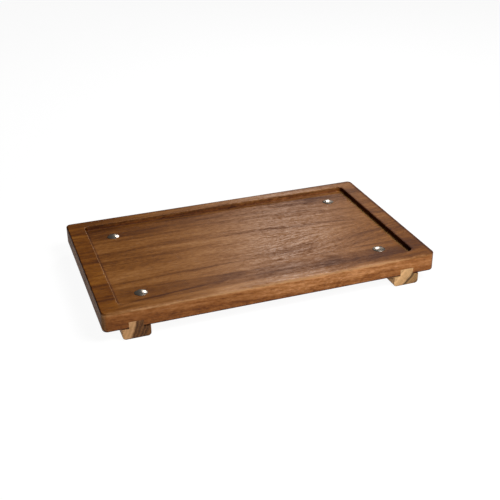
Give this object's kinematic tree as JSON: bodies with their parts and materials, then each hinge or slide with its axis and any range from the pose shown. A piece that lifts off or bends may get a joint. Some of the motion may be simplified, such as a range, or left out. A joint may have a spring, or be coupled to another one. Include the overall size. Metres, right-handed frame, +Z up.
{
  "type": "serving board",
  "caption": "Rectangular wooden serving board with a tray recess routed into its top, domed steel studs on the recess floor, and T-section runners housed across its underside.",
  "frame": {"origin": "on the table under the middle of the board", "axes": "+X along the board's length and its grain, +Y from the front to the back, +Z up out of the recess"},
  "size_m": [0.4, 0.235, 0.0368],
  "materials": {
    "slab_wood": "oiled warm brown hardwood, satin",
    "runner_wood": "oiled pale sapwood with dark heartwood bands, satin",
    "stud_steel": "polished"
  },
  "bodies": {
    "root": {"front_stave": "slab_wood", "front_middle_stave": "slab_wood", "back_middle_stave": "slab_wood", "back_stave": "slab_wood", "left_runner": "runner_wood", "right_runner": "runner_wood", "front_left_stud": "stud_steel", "front_right_stud": "stud_steel", "back_left_stud": "stud_steel", "back_right_stud": "stud_steel"}
  },
  "joints": []
}
